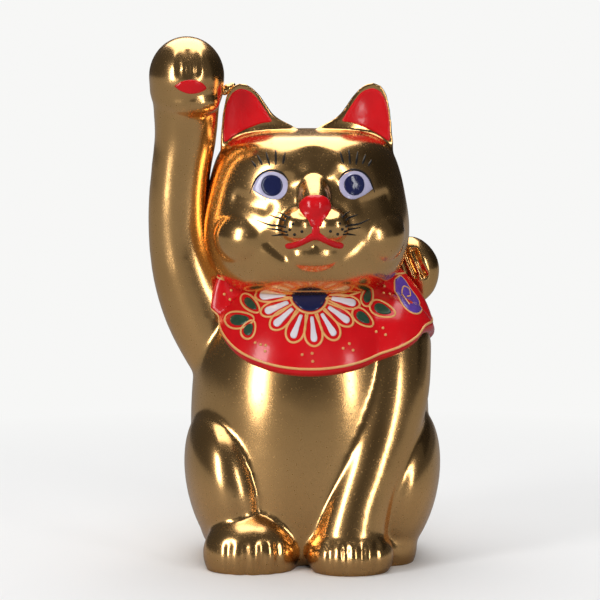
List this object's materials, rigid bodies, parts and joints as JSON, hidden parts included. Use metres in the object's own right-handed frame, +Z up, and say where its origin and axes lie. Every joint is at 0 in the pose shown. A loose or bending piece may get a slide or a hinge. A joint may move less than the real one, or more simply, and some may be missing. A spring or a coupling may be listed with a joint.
{
  "type": "beckoning cat figurine",
  "caption": "Seated ceramic cat with one paw raised beside its ear, gold-lustred all over, with a red flowered bib and a ribbon bow behind the neck.",
  "frame": {"origin": "centre of the base, on the ground under the torso", "axes": "+X towards the cat's left, +Y towards its back (it faces -Y), +Z up through the head and the raised paw"},
  "size_m": [0.1508, 0.1444, 0.264],
  "materials": {
    "gold": "gold lustre over a gloss glaze, mirror-like, finely pitted",
    "red": "gloss red overglaze enamel",
    "cream_gold": "raised trailed gold line, satin",
    "white": "gloss white enamel",
    "navy": "gloss dark blue enamel",
    "black": "gloss black enamel",
    "green": "gloss dark green enamel",
    "purple": "gloss purple-blue enamel"
  },
  "bodies": {
    "root": {"torso": "gold", "head": "gold", "raised_arm": "gold", "left_foreleg": "gold", "right_haunch": "gold", "left_haunch": "gold", "right_hind_foot": "gold", "left_hind_foot": "gold", "tail": "gold", "right_ear": "gold", "left_ear": "gold", "ear_tack": "gold", "neck_ribbon": "gold", "bow_knot": "gold", "bow_front_loop": "gold", "bow_rear_loop": "gold", "ribbon_ends": "gold", "bib": "red", "right_ear_enamel": "red", "left_ear_enamel": "red", "nose_and_mouth": "red", "paw_pad": "red", "bib_edge_trail": "cream_gold", "petal_trails": "cream_gold", "leaf_trails": "cream_gold", "bib_dots": "cream_gold", "right_eye_white": "white", "left_eye_white": "white", "flower_petals": "white", "right_iris": "navy", "left_iris": "navy", "flower_centre": "black", "leaves": "green", "cloud_swirl": "purple"}
  },
  "joints": []
}
